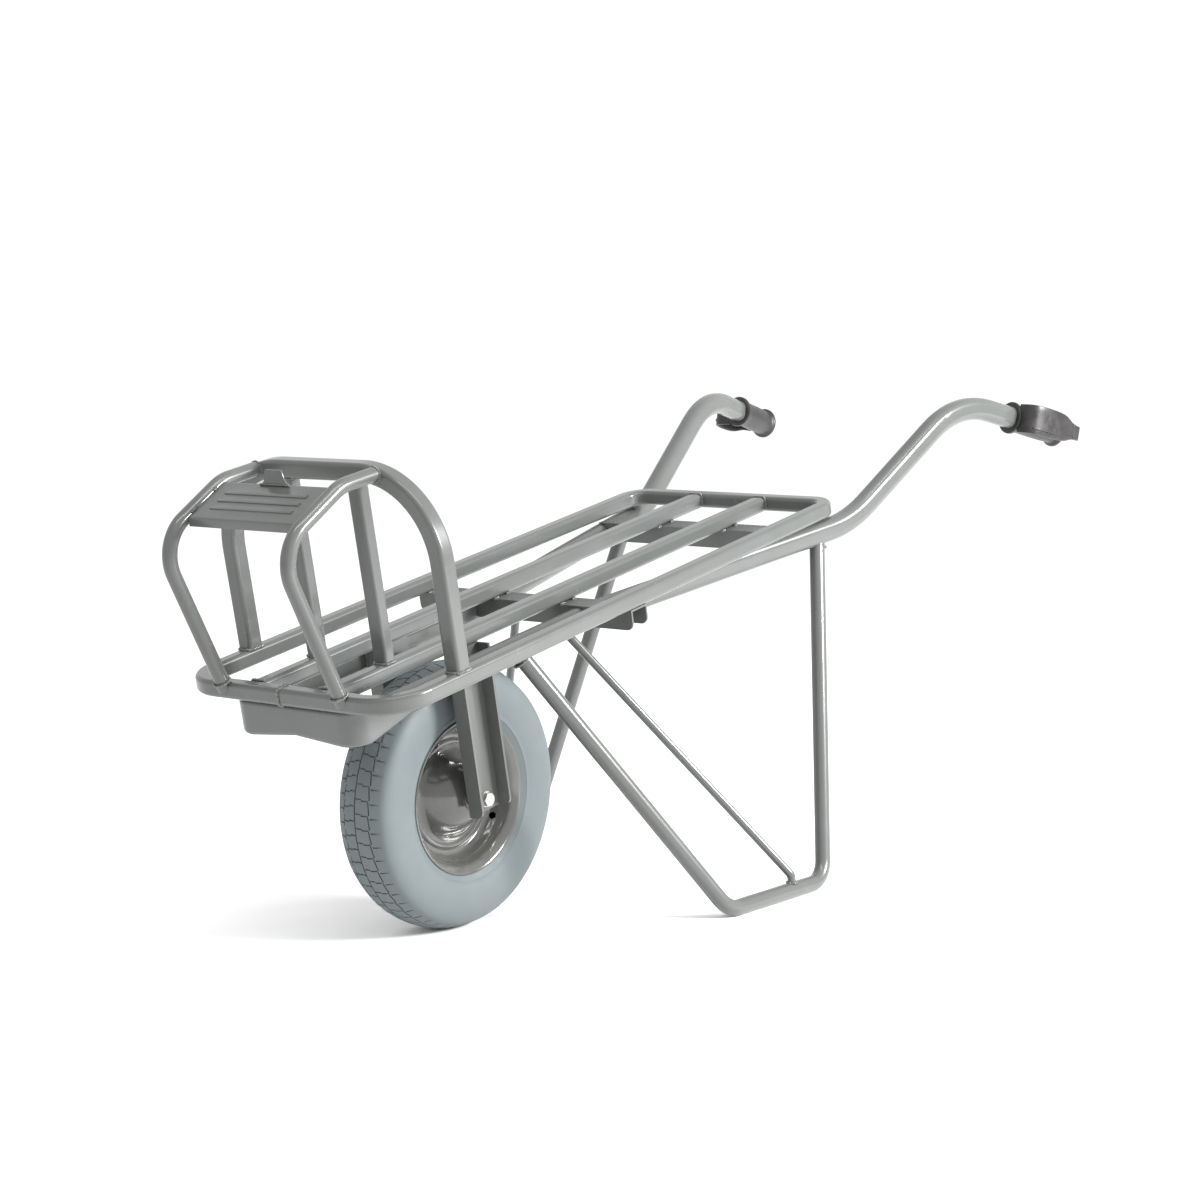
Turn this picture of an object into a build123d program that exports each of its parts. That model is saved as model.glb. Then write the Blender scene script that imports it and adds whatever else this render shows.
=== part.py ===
from build123d import *
import math
import os

# Slatted brick barrow. Millimetres and degrees, +Z up, +X forward (wheel end), +Y to the barrow's left.
# While modelling, the axle stands at x = 0; the finished set is moved so that the origin lies on the
# ground under the middle of the bounding box.

# load bed, measured in its own tilted frame: u runs forward, y to the left, h square to the slats
bed_tilt = 11.14
bed_height = 451.0
bed_front = 335.0
bed_rear = -735.0
rail_y = 202.5
slat_y = 65.5
rail_size = 25.0
rail_corner = 6.5
rail_wall = 2.0
front_bend = 62.0
rear_bend = 36.0
drain_hole = 6.0

# main frame tube, one bent tube from handle to handle
tube_tall = 38.0
tube_wide = 31.0
tube_corner = 13.5
tube_wall = 2.5
tube_y = 109.5
nose_u = 323.0
nose_bend = 22.0
nose_wide = 22.0
nose_tall = 45.0
nose_corner_tall = 53.0
nose_corner = 7.0
nose_fade = 80.0
spread_u = -209.0
spread_slope = 0.191
spread_bend = 160.0
lift_u = -762.0
lift_bend = 220.0
handle_slope = 0.743
handle_run = 259.0
handle_bend = 180.0
grip_slope = 0.231
grip_drop_run = 250.0

# pressed cross-members under the slats
cross_wall = 3.0
cross_wide = 38.0
cross_deep = 31.5
mid_cross_u = -190.0
mid_cross_half = 212.0
rear_cross_u = -623.0
rear_cross_half = 186.0
cross_corner = 12.0
notch_clearance = 1.0

# load rack at the front
hoop_size = 27.0
hoop_corner = 6.0
hoop_u = 203.5
hoop_h = 288.0
hoop_bend = 125.0
bar_wide = 25.0
bar_deep = 20.0
bar_corner = 4.5
brace_radius = 10.65
brace_wall = 2.0
brace_y = 114.0
brace_knee_u = 285.0
brace_elbow_u = 415.0
brace_elbow_h = 233.0
brace_foot_u = 342.0
brace_knee_bend = 70.0
brace_elbow_bend = 60.0
plate_wall = 3.0
plate_top_u = 291.0
plate_fold_u = 366.0
plate_fold_h = 257.0
plate_lip = 13.0
tab_tall = 21.0
tab_top_wide = 32.0
tab_foot_wide = 58.0
tab_neck_wide = 37.0
tab_flare_tall = 8.0

# stand legs and their thin braces
leg_radius = 12.5
leg_wall = 2.0
leg_y = 305.0
leg_front_x = -288.0
leg_rear_x = -546.0
leg_front_u = -30.0
leg_rear_u = -684.5
leg_bend = 42.0
stay_radius = 6.75
stay_wall = 1.5
stay_foot_x = -456.5
stay_u = -184.0
stay_y = 18.0
stay_bend = 16.0

# fork
fork_wall = 4.0
fork_web_y = 68.0
fork_half = 33.0
fork_below = 18.0
fork_corner = 13.0
top_gap = 1.5

# wheel and axle
wheel_radius = 200.0
tyre_half = 50.0
rim_radius = 117.0
rim_edge_y = 40.0
rim_wall = 2.5
casing_wall = 6.0
tread_wall = 9.0
bead_tall = 12.0
hub_half = 47.0
hub_outer = 19.0
bearing_outer = 16.0
bearing_wide = 10.0
axle_radius = 6.0
running_clearance = 0.05
hole_clearance = 0.3
side_gap = 0.4
spacer_outer = 10.0
washer_outer = 12.0
washer_wall = 2.5
hex_flats = 19.0
head_tall = 7.5
nut_tall = 10.0
thread_out = 4.0
valve_hole = 5.5
valve_y = 12.0
valve_start = 80.0

# grips with knuckle guards
grip_wall = 4.0
grip_length = 128.0
grip_flange = 8.0
grip_flange_wide = 9.0
grip_end = 8.0
guard_out = 54.0
guard_wall = 4.5
guard_tall = 50.0
guard_tip_tall = 25.0
guard_tip_out = 20.0
guard_taper = 0.66

tilt = math.radians(bed_tilt)
bed = Plane(origin=(0, 0, bed_height), x_dir=(math.cos(tilt), 0, -math.sin(tilt)),
            z_dir=(math.sin(tilt), 0, math.cos(tilt)))
rail_half = rail_size / 2
tube_h = -rail_half - cross_wall - tube_tall / 2
side = Vector(0, 1, 0)


def on_bed(u, y, h):
    return bed.from_local_coords(Vector(u, y, h))


def to_bed(point):
    return bed.to_local_coords(Vector(*point))


def ring(wide, tall, corner, wall):
    outer = RectangleRounded(wide, tall, corner)
    return outer - RectangleRounded(wide - 2 * wall, tall - 2 * wall, corner - wall)


def bent_bar(points, radii, profile, wide):
    # straight runs joined by tangent bends; the profile is carried along without twisting
    points = [Vector(*p) for p in points]
    runs = []
    frame = Plane(origin=points[0], x_dir=wide, z_dir=(points[1] - points[0]).normalized())
    for index in range(len(points) - 1):
        ahead = (points[index + 1] - points[index]).normalized()
        corner = index < len(points) - 2
        back = 0.0
        if corner:
            turned = (points[index + 2] - points[index + 1]).normalized()
            hinge = ahead.cross(turned).normalized()
            turn = math.radians(ahead.get_angle(turned))
            back = radii[index] * math.tan(turn / 2)
        end = points[index + 1] - ahead * back
        runs.append(extrude(frame * profile, amount=(end - frame.origin).length))
        frame = Plane(origin=end, x_dir=frame.x_dir, z_dir=frame.z_dir)
        if corner:
            centre = end + hinge.cross(ahead) * radii[index]
            axis = Axis(centre, hinge)
            runs.append(revolve(frame * profile, axis=axis, revolution_arc=math.degrees(turn)))
            spin = Axis((0, 0, 0), hinge)
            frame = Plane(origin=points[index + 1] + turned * back,
                          x_dir=frame.x_dir.rotate(spin, math.degrees(turn)), z_dir=turned)
    whole = runs[0]
    for run in runs[1:]:
        whole = whole + run
    return whole


def mirrored(shape):
    return mirror(shape, about=Plane.XZ)


def bed_box(u0, u1, y0, y1, h0, h1):
    block = Box(u1 - u0, y1 - y0, h1 - h0)
    centre = Vector((u0 + u1) / 2, (y0 + y1) / 2, (h0 + h1) / 2)
    return Plane(origin=bed.from_local_coords(centre), x_dir=bed.x_dir, z_dir=bed.z_dir) * block


def make_bed_frame():
    corners = [(bed_front, 0), (bed_front, rail_y), (bed_rear, rail_y), (bed_rear, -rail_y),
               (bed_front, -rail_y), (bed_front, 0)]
    points = [on_bed(u, y, 0) for u, y in corners]
    radii = [front_bend, rear_bend, rear_bend, front_bend]
    loop = bent_bar(points, radii, ring(rail_size, rail_size, rail_corner, rail_wall), bed.x_dir)
    drain = Plane(origin=on_bed(bed_rear, 0, -rail_half), x_dir=bed.x_dir, z_dir=bed.z_dir)
    return loop - drain * Cylinder(drain_hole / 2, rail_size)


def make_slat(y):
    start = on_bed(bed_rear + rail_half, y, 0)
    end = on_bed(bed_front - rail_half, y, 0)
    return bent_bar([start, end], [], ring(rail_size, rail_size, rail_corner, rail_wall), side)


def main_tube_points():
    spread_y = tube_y + spread_slope * (spread_u - lift_u)
    lift = on_bed(lift_u, spread_y, tube_h)
    handle = lift + Vector(-handle_run, spread_slope * handle_run, handle_slope * handle_run)
    end = handle + Vector(-grip_drop_run, spread_slope * grip_drop_run, -grip_slope * grip_drop_run)
    start = on_bed(nose_u - nose_bend - nose_fade, tube_y, tube_h)
    return [start, on_bed(spread_u, tube_y, tube_h), lift, handle, end]


def main_tube_half(profile):
    return bent_bar(main_tube_points(), [spread_bend, lift_bend, handle_bend], profile, side)


def tube_section(place, wide, tall, corner, inset):
    # the top stays level with the rest of the tube, so a taller section hangs lower
    outline = RectangleRounded(wide - 2 * inset, tall - 2 * inset, corner - inset)
    return place * Pos(0, (tall - tube_tall) / 2) * outline


def make_nose_half(inset):
    # the tight front bends squeeze the tube thinner and taller
    bend_y = tube_y - nose_bend
    middle = Plane(origin=on_bed(nose_u, 0, tube_h), x_dir=bed.x_dir, z_dir=side)
    corner = Plane(origin=on_bed(nose_u, bend_y, tube_h), x_dir=bed.x_dir, z_dir=side)
    after = Plane(origin=on_bed(nose_u - nose_bend, tube_y, tube_h), x_dir=side, z_dir=-bed.x_dir)
    faded = Plane(origin=main_tube_points()[0], x_dir=side, z_dir=-bed.x_dir)
    centre = tube_section(middle, nose_wide, nose_tall, nose_corner, inset)
    flared = tube_section(corner, nose_wide, nose_corner_tall, nose_corner, inset)
    turned_in = tube_section(after, nose_wide, nose_corner_tall, nose_corner, inset)
    normal = tube_section(faded, tube_wide, tube_tall, tube_corner, inset)
    front = loft([centre, flared])
    hinge = Axis(on_bed(nose_u - nose_bend, bend_y, tube_h), bed.z_dir)
    bend = revolve(flared, axis=hinge, revolution_arc=90)
    back = loft([turned_in, normal])
    return front + bend + back


def make_main_tube():
    tube = main_tube_half(ring(tube_wide, tube_tall, tube_corner, tube_wall))
    half = tube + (make_nose_half(0) - make_nose_half(tube_wall))
    return half + mirrored(half)


def make_cross_member(u, half, cut):
    top = -rail_half
    low = top - cross_deep
    shell = bed_box(u - cross_wide / 2, u + cross_wide / 2, -half, half, low, top)
    lower_ends = shell.edges().filter_by(lambda e: abs(e.length - cross_wide) < 0.01)
    lower_ends = lower_ends.sort_by(lambda e: to_bed(e.center()).Z)[:2]
    shell = fillet(lower_ends, cross_corner)
    inside = cross_wide / 2 - cross_wall
    shell -= bed_box(u - inside, u + inside, -half - 1, half + 1, low - 1, top - cross_wall)
    return shell - cut


def make_hoop():
    foot = rail_half
    points = [on_bed(hoop_u, rail_y, foot), on_bed(hoop_u, rail_y, hoop_h),
              on_bed(hoop_u, -rail_y, hoop_h), on_bed(hoop_u, -rail_y, foot)]
    profile = ring(hoop_size, hoop_size, hoop_corner, rail_wall)
    return bent_bar(points, [hoop_bend, hoop_bend], profile, bed.x_dir)


def make_rack_bar(y):
    points = [on_bed(hoop_u, y, rail_half), on_bed(hoop_u, y, hoop_h - hoop_size / 2)]
    return bent_bar(points, [], ring(bar_deep, bar_wide, bar_corner, rail_wall), bed.x_dir)


def brace_points(y):
    face = hoop_u + hoop_size / 2
    return [on_bed(face, y, hoop_h), on_bed(brace_knee_u, y, hoop_h),
            on_bed(brace_elbow_u, y, brace_elbow_h), on_bed(brace_foot_u, y, 0)]


def make_rack_brace(y):
    profile = Circle(brace_radius) - Circle(brace_radius - brace_wall)
    tube = bent_bar(brace_points(y), [brace_knee_bend, brace_elbow_bend], profile, side)
    front = bed_box(bed_front - rail_half, bed_front + rail_half, y - 30, y + 30, -30, rail_half)
    return tube - front


def make_rack_plate():
    reach = brace_y - brace_radius
    low = plate_fold_h - plate_lip
    side_view = Plane(origin=bed.origin, x_dir=bed.x_dir, z_dir=(0, -1, 0))
    fold = (plate_fold_u, plate_fold_h)
    outer = [(plate_top_u, hoop_h), fold, (plate_fold_u, low)]
    inner = [(plate_fold_u - plate_wall, low), (plate_fold_u - plate_wall, plate_fold_h - plate_wall),
             (plate_top_u - plate_wall / 2, hoop_h - plate_wall)]
    sheet = extrude(side_view * make_face(Polyline(*outer, *inner, close=True)), amount=reach, both=True)
    upright = Plane(origin=on_bed(plate_top_u, 0, 0), x_dir=(0, 1, 0), z_dir=bed.x_dir)
    foot = hoop_h - plate_wall
    top = hoop_h + tab_tall
    flare = foot + tab_flare_tall
    right = [(tab_foot_wide / 2, foot), (tab_neck_wide / 2, flare), (tab_top_wide / 2, top)]
    left = [(-y, h) for y, h in right[::-1]]
    tab = extrude(upright * make_face(Polyline(*right, *left, close=True)), amount=plate_wall)
    return sheet + tab


def leg_points():
    under = tube_h - tube_tall / 2 + 6
    rear_y = tube_y + spread_slope * (spread_u - leg_rear_u)
    return [on_bed(leg_front_u, tube_y, under), (leg_front_x, leg_y, leg_radius),
            (leg_rear_x, leg_y, leg_radius), on_bed(leg_rear_u, rear_y, under)]


def make_leg(tube_envelope):
    profile = Circle(leg_radius) - Circle(leg_radius - leg_wall)
    tube = bent_bar(leg_points(), [leg_bend, leg_bend], profile, side)
    trimmed = tube - tube_envelope
    return largest(trimmed)


def largest(shape):
    return shape.solids().sort_by(SortBy.VOLUME)[-1]


def make_stay(cross_envelope, leg_envelope):
    foot = (stay_foot_x, leg_y, leg_radius)
    knee = (stay_foot_x, leg_y, 2 * leg_radius + stay_radius + 4)
    head = on_bed(stay_u, stay_y, -rail_half - cross_wall / 2)
    profile = Circle(stay_radius) - Circle(stay_radius - stay_wall)
    tube = bent_bar([foot, knee, head], [stay_bend], profile, side)
    return largest(tube - leg_envelope - cross_envelope)


axle_bed = bed.to_local_coords(Vector(0, 0, wheel_radius))


def make_fork_leg():
    top = -rail_half - top_gap
    low = axle_bed.Z - fork_below
    edge_y = tube_y - tube_wide / 2
    front = axle_bed.X + fork_half
    back = axle_bed.X - fork_half
    leg = bed_box(back, front, fork_web_y, edge_y, low, top)
    outer_low = leg.edges().filter_by(lambda e: abs(e.length - 2 * fork_half) < 0.01)
    outer_low = outer_low.sort_by(lambda e: to_bed(e.center()).Z - to_bed(e.center()).Y)[:1]
    leg = fillet(outer_low, fork_corner)
    leg -= bed_box(back + fork_wall, front - fork_wall, fork_web_y + fork_wall, edge_y + 1, low - 1, top + 1)
    return leg - along_axle(axle_radius + hole_clearance, 0, edge_y + 10)


def along_axle(radius, y0, y1):
    rod = Plane(origin=(0, y0, wheel_radius), x_dir=(1, 0, 0), z_dir=(0, 1, 0)) * Circle(radius)
    return extrude(rod, amount=y1 - y0)


def sleeve(outer, inner, y0, y1):
    return along_axle(outer, y0, y1) - along_axle(inner, y0, y1)


def turned(points):
    # points are (distance along the axle, radius)
    section = Plane(origin=(0, 0, wheel_radius), x_dir=(0, 1, 0), z_dir=(1, 0, 0))
    face = section * make_face(Polyline(*points, close=True))
    return revolve(face, axis=Axis((0, 0, wheel_radius), (0, 1, 0)), revolution_arc=360)


def rim_line():
    edge = rim_radius
    return [(0, 74), (0, 90), (8, 98), (24, 101.5), (32, 105), (37, 111), (rim_edge_y, edge)]


def dome_line():
    return [(44.5, hub_outer), (44.5, 26), (41, 34), (30, 45), (15, 57), (4, 66), (0, 74)]


def make_rim_half():
    line = dome_line() + rim_line()[1:]
    shifted = []
    for index, (y, r) in enumerate(line):
        before = line[max(index - 1, 0)]
        after = line[min(index + 1, len(line) - 1)]
        dy, dr = after[0] - before[0], after[1] - before[1]
        size = math.hypot(dy, dr)
        shifted.append((y + rim_wall * dr / size, r - rim_wall * dy / size))
    shifted[0] = (line[0][0] + rim_wall, hub_outer)
    half = turned(line + shifted[::-1])
    outward = Vector(-0.88, 0, -0.47).normalized()
    start = Vector(0, valve_y, wheel_radius) + outward * valve_start
    hole = Plane(origin=start, x_dir=(0, 1, 0), z_dir=outward) * Circle(valve_hole)
    return half - extrude(hole, amount=rim_radius - valve_start)


def make_tyre():
    section = Plane(origin=(0, 0, wheel_radius), x_dir=(0, 1, 0), z_dir=(1, 0, 0))
    seat = rim_line()[3:]
    shoulder = (tyre_half - 7, wheel_radius - 13)
    flank = (tyre_half, wheel_radius - 46)
    inner_shoulder = (shoulder[0] - casing_wall, shoulder[1] - casing_wall)
    inner_flank = (flank[0] - casing_wall, flank[1])
    heel = (seat[0][0], seat[0][1] + bead_tall)
    foot = [heel, *seat]
    crown = ThreePointArc(opposite(shoulder), (0, wheel_radius), shoulder)
    flank_out = ThreePointArc(shoulder, flank, seat[-1])
    bead = Polyline(*foot[::-1])
    flank_in = ThreePointArc(heel, inner_flank, inner_shoulder)
    roof = ThreePointArc(inner_shoulder, (0, wheel_radius - tread_wall), opposite(inner_shoulder))
    far_in = ThreePointArc(opposite(inner_shoulder), opposite(inner_flank), opposite(heel))
    far_bead = Polyline(*[opposite(p) for p in foot])
    far_out = ThreePointArc(opposite(seat[-1]), opposite(flank), opposite(shoulder))
    curves = [crown, flank_out, bead, flank_in, roof, far_in, far_bead, far_out]
    outline = Wire([edge for curve in curves for edge in curve.edges()])
    axle = Axis((0, 0, wheel_radius), (0, 1, 0))
    return revolve(section * make_face(outline), axis=axle, revolution_arc=360)


def opposite(point):
    return (-point[0], point[1])


def hexagon(y0, y1):
    nut = Plane(origin=(0, y0, wheel_radius), x_dir=(1, 0, 0), z_dir=(0, 1, 0))
    prism = extrude(nut * RegularPolygon(hex_flats / 2, 6, major_radius=False), amount=y1 - y0)
    round_off = hex_flats * 0.56
    cone = Plane(origin=(0, (y0 + y1) / 2, wheel_radius), x_dir=(1, 0, 0), z_dir=(0, 1, 0))
    rounded = cone * chamfer(Cylinder(round_off, y1 - y0).edges(), 1.0)
    return prism & rounded


def make_bolt():
    seat = fork_web_y + fork_wall + washer_wall
    end = -seat - nut_tall - thread_out
    shank = along_axle(axle_radius, end, seat)
    shank = chamfer(shank.edges().sort_by(Axis.Y)[0], 1.0)
    return shank + hexagon(seat, seat + head_tall)


def make_nut():
    seat = fork_web_y + fork_wall + washer_wall
    return hexagon(-seat - nut_tall, -seat) - along_axle(axle_radius, -seat - nut_tall - 1, -seat + 1)


def make_washers():
    face = fork_web_y + fork_wall
    bore = axle_radius + hole_clearance
    left = sleeve(washer_outer, bore, face, face + washer_wall)
    right = sleeve(washer_outer, bore, -face - washer_wall, -face)
    return Compound(children=[*left.solids(), *right.solids()])


def grip_plane():
    points = main_tube_points()
    ahead = (points[-1] - points[-2]).normalized()
    start = points[-1] - ahead * (grip_length - grip_end - 1)
    level = Vector(0, 0, 1).cross(ahead).normalized()
    return Plane(origin=start, x_dir=level, z_dir=ahead)


def make_grip(tube_envelope):
    place = grip_plane()
    body = RectangleRounded(tube_wide + 2 * grip_wall, tube_tall + 2 * grip_wall, tube_corner + grip_wall)
    rim = RectangleRounded(tube_wide + 2 * grip_flange_wide, tube_tall + 2 * grip_flange_wide,
                           tube_corner + grip_flange_wide - 1)
    grip = extrude(place * body, amount=grip_length)
    grip += extrude(place * rim, amount=grip_flange)
    grip += extrude(place.offset(grip_length - grip_end) * rim, amount=grip_end)
    grip += place * make_guard()
    return largest(grip - tube_envelope)


def make_guard():
    # local frame: x towards the barrow's middle, z back along the grip; the guard lies outboard
    near = tube_wide / 2 + grip_wall - 1
    end = grip_length + guard_tip_out
    outer = [(-near, 0), (-guard_out * 0.8, 3), (-guard_out, 28), (-guard_out, 80),
             (-guard_out * 0.84, grip_length - 4), (-guard_out * 0.74, end)]
    inner = [(-near, guard_wall), (-guard_out * 0.8 + 3, 3 + guard_wall), (guard_wall - guard_out, 30),
             (guard_wall - guard_out, 79), (-guard_out * 0.84 + guard_wall, grip_length - 6),
             (-guard_out * 0.74 + guard_wall, end)]
    front = Spline(*outer)
    back = Spline(*inner[::-1])
    tip = Line(outer[-1], inner[-1])
    root = Line(inner[0], outer[0])
    strip = Wire([edge for curve in [front, tip, back, root] for edge in curve.edges()])
    flat = Plane(origin=(0, 0, 0), x_dir=(1, 0, 0), z_dir=(0, -1, 0))
    band = extrude(flat * make_face(strip), amount=guard_tall / 2, both=True)
    bridge = [(-near, grip_length - grip_end), (-guard_out * 0.84 + 2, grip_length - grip_end),
              (-guard_out * 0.84 + 2, grip_length), (-near, grip_length)]
    web = extrude(flat * make_face(Polyline(*bridge, close=True)), amount=guard_tip_tall / 2, both=True)
    view = Plane(origin=(-guard_out - 5, 0, 0), x_dir=(0, 1, 0), z_dir=(1, 0, 0))
    high = guard_tall / 2
    low = guard_tip_tall / 2
    waist = grip_length * guard_taper
    taper = [(-high, -1), (high, -1), (high, waist), (low, grip_length), (low, end + 1),
             (-low, end + 1), (-low, grip_length), (-high, waist)]
    mask = extrude(view * make_face(Polyline(*taper, close=True)), amount=guard_out)
    return (band & mask) + web


def build_parts():
    envelope = main_tube_half(RectangleRounded(tube_wide, tube_tall, tube_corner))
    slack = 2 * notch_clearance
    grown = RectangleRounded(tube_wide + slack, tube_tall + slack, tube_corner + notch_clearance)
    notch = main_tube_half(grown) + mirrored(main_tube_half(grown))
    tube_top = bed_box(-900, 400, -400, 400, -rail_half - cross_wall, 0)
    notch = notch - tube_top
    leg_envelope = bent_bar(leg_points(), [leg_bend, leg_bend], Circle(leg_radius), side)
    half = cross_wide / 2
    web = bed_box(mid_cross_u - half, mid_cross_u + half, -mid_cross_half, mid_cross_half,
                  -rail_half - cross_wall, rail_half)
    leg = make_leg(envelope)
    stay = make_stay(web, leg_envelope)
    fork_leg = make_fork_leg()
    rim = make_rim_half()
    grip = make_grip(envelope)
    inner_bearing = hub_half - 1 - bearing_wide
    bore = axle_radius + running_clearance
    bearing = sleeve(bearing_outer, bore, inner_bearing, inner_bearing + bearing_wide)
    spacer_start = hub_half - 1 + side_gap
    spacer = sleeve(spacer_outer, axle_radius + hole_clearance, spacer_start, fork_web_y)
    return {
        "main_frame_tube": make_main_tube(),
        "bed_frame": make_bed_frame(),
        "slat_left": make_slat(slat_y),
        "slat_right": make_slat(-slat_y),
        "mid_cross_member": make_cross_member(mid_cross_u, mid_cross_half, notch),
        "rear_cross_member": make_cross_member(rear_cross_u, rear_cross_half, notch),
        "rack_hoop": make_hoop(),
        "rack_bar_left": make_rack_bar(slat_y),
        "rack_bar_right": make_rack_bar(-slat_y),
        "rack_brace_left": make_rack_brace(brace_y),
        "rack_brace_right": make_rack_brace(-brace_y),
        "rack_plate": make_rack_plate(),
        "leg_left": leg,
        "leg_right": mirrored(leg),
        "leg_stay_left": stay,
        "leg_stay_right": mirrored(stay),
        "fork_leg_left": fork_leg,
        "fork_leg_right": mirrored(fork_leg),
        "tyre": make_tyre(),
        "rim_half_left": rim,
        "rim_half_right": mirrored(rim),
        "hub_tube": sleeve(hub_outer, bearing_outer, -hub_half, hub_half),
        "bearing_left": bearing,
        "bearing_right": mirrored(bearing),
        "axle_spacer_left": spacer,
        "axle_spacer_right": mirrored(spacer),
        "axle_bolt": make_bolt(),
        "axle_nut": make_nut(),
        "axle_washers": make_washers(),
        "grip_left": grip,
        "grip_right": mirrored(grip),
    }


def export_all():
    os.makedirs("parts", exist_ok=True)
    parts = build_parts()
    lows = [part.bounding_box().min.X for part in parts.values()]
    highs = [part.bounding_box().max.X for part in parts.values()]
    shift = -(min(lows) + max(highs)) / 2
    print("axle at x", round(shift, 3), "z", wheel_radius)
    for name, part in parts.items():
        export_step(Pos(shift, 0, 0) * part, f"parts/{name}.step")
        print(name, len(part.solids()))


export_all()
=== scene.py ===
import bpy
import bmesh
import math
import random
from mathutils import Matrix, Vector


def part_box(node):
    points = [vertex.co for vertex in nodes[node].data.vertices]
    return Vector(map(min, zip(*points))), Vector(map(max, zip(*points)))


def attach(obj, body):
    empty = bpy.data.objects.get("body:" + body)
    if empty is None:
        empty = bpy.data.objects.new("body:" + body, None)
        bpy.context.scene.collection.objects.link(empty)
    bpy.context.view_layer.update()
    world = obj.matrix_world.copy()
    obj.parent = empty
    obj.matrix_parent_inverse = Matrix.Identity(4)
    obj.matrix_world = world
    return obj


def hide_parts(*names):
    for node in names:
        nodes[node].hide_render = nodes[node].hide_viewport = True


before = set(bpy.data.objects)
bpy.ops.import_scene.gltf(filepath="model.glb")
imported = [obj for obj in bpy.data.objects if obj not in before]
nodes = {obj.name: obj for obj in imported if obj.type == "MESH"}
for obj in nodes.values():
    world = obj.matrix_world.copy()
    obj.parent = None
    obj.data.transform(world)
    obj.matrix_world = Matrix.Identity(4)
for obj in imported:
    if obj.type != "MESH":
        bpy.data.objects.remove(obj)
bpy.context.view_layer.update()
print("frame loaded:", len(nodes), "nodes")


def clearSelection():
    if bpy.context.object and bpy.context.object.mode != "OBJECT":
        bpy.ops.object.mode_set(mode="OBJECT")
    bpy.ops.object.select_all(action="DESELECT")


def pickObjects(objects, active):
    clearSelection()
    for obj in objects:
        obj.select_set(True)
    bpy.context.view_layer.objects.active = active


def startEdit(obj):
    pickObjects([obj], obj)
    bpy.ops.object.mode_set(mode="EDIT")
    bpy.ops.mesh.select_mode(type="VERT")
    bpy.ops.mesh.select_all(action="DESELECT")


def pickFaces(obj, test):
    # selects the faces that pass the test on their middle and normal
    bpy.ops.mesh.select_mode(type="FACE")
    bpy.ops.mesh.select_all(action="DESELECT")
    mesh = bmesh.from_edit_mesh(obj.data)
    for face in mesh.faces:
        if test(face.calc_center_median(), face.normal):
            face.select_set(True)
    mesh.select_flush_mode()
    bmesh.update_edit_mesh(obj.data)


def pickVerts(obj, test):
    bpy.ops.mesh.select_mode(type="VERT")
    bpy.ops.mesh.select_all(action="DESELECT")
    mesh = bmesh.from_edit_mesh(obj.data)
    for vert in mesh.verts:
        if test(vert.co):
            vert.select_set(True)
    mesh.select_flush_mode()
    bmesh.update_edit_mesh(obj.data)


def endEdit():
    bpy.ops.object.mode_set(mode="OBJECT")


def startPoint(name, point):
    # a plane merged to one vertex, ready to be drawn out into an outline
    clearSelection()
    bpy.ops.mesh.primitive_plane_add(size=0.01, location=(0, 0, 0))
    obj = bpy.context.object
    obj.name = name
    startEdit(obj)
    bpy.ops.mesh.select_all(action="SELECT")
    bpy.ops.mesh.merge(type="CENTER")
    bpy.ops.transform.translate(value=point)
    return obj


def drawOn(point, last):
    step = Vector(point) - Vector(last)
    bpy.ops.mesh.extrude_region_move(TRANSFORM_OT_translate={"value": step})


def drawLine(name, points):
    obj = startPoint(name, points[0])
    for last, point in zip(points, points[1:]):
        drawOn(point, last)
    return obj


def tidyShell():
    bpy.ops.mesh.select_mode(type="VERT")
    bpy.ops.mesh.select_all(action="SELECT")
    bpy.ops.mesh.remove_doubles(threshold=0.00002)
    bpy.ops.mesh.normals_make_consistent(inside=False)
    bpy.ops.mesh.select_all(action="DESELECT")


def turnSheet(obj, way):
    # turns an open sheet over when its faces look away from the given direction
    mesh = bmesh.from_edit_mesh(obj.data)
    if sum(face.normal.dot(way) * face.calc_area() for face in mesh.faces) < 0:
        bpy.ops.mesh.select_all(action="SELECT")
        bpy.ops.mesh.flip_normals()


def addModifier(obj, kind, **settings):
    pickObjects([obj], obj)
    modifier = obj.modifiers.new(kind.lower(), kind)
    for key, value in settings.items():
        setattr(modifier, key, value)
    bpy.ops.object.modifier_apply(modifier=modifier.name)


def settle(obj, name, material, body, replaced=(), smooth=35):
    # places the finished piece at the origin, shades it and lets it ride on its body
    pickObjects([obj], obj)
    bpy.ops.object.transform_apply(location=True, rotation=True, scale=True)
    bpy.ops.object.shade_smooth_by_angle(angle=math.radians(smooth))
    obj.name = name
    obj.data.materials.clear()
    obj.data.materials.append(material)
    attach(obj, body)
    if replaced:
        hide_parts(*replaced)
    return obj


class Wire:
    # one node socket; sums and products of wires add Math nodes
    def __init__(self, tree, socket):
        self.tree = tree
        self.socket = socket

    def math(self, operation, other, flipped=False):
        first, second = (other, self) if flipped else (self, other)
        return addNode(self.tree, "ShaderNodeMath", 0, {"operation": operation}, in0=first, in1=second)

    def __add__(self, other):
        return self.math("ADD", other)

    def __sub__(self, other):
        return self.math("SUBTRACT", other)

    def __rsub__(self, other):
        return self.math("SUBTRACT", other, True)

    def __mul__(self, other):
        return self.math("MULTIPLY", other)


def addNode(tree, kind, output=0, settings=None, **inputs):
    node = tree.nodes.new(kind)
    for key, value in (settings or {}).items():
        setattr(node, key, value)
    for key, value in inputs.items():
        byNumber = key[:2] == "in" and key[2:].isdigit()
        socket = node.inputs[int(key[2:]) if byNumber else key.replace("_", " ")]
        if isinstance(value, Wire):
            tree.links.new(value.socket, socket)
        else:
            socket.default_value = value
    return Wire(tree, node.outputs[output])


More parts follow.
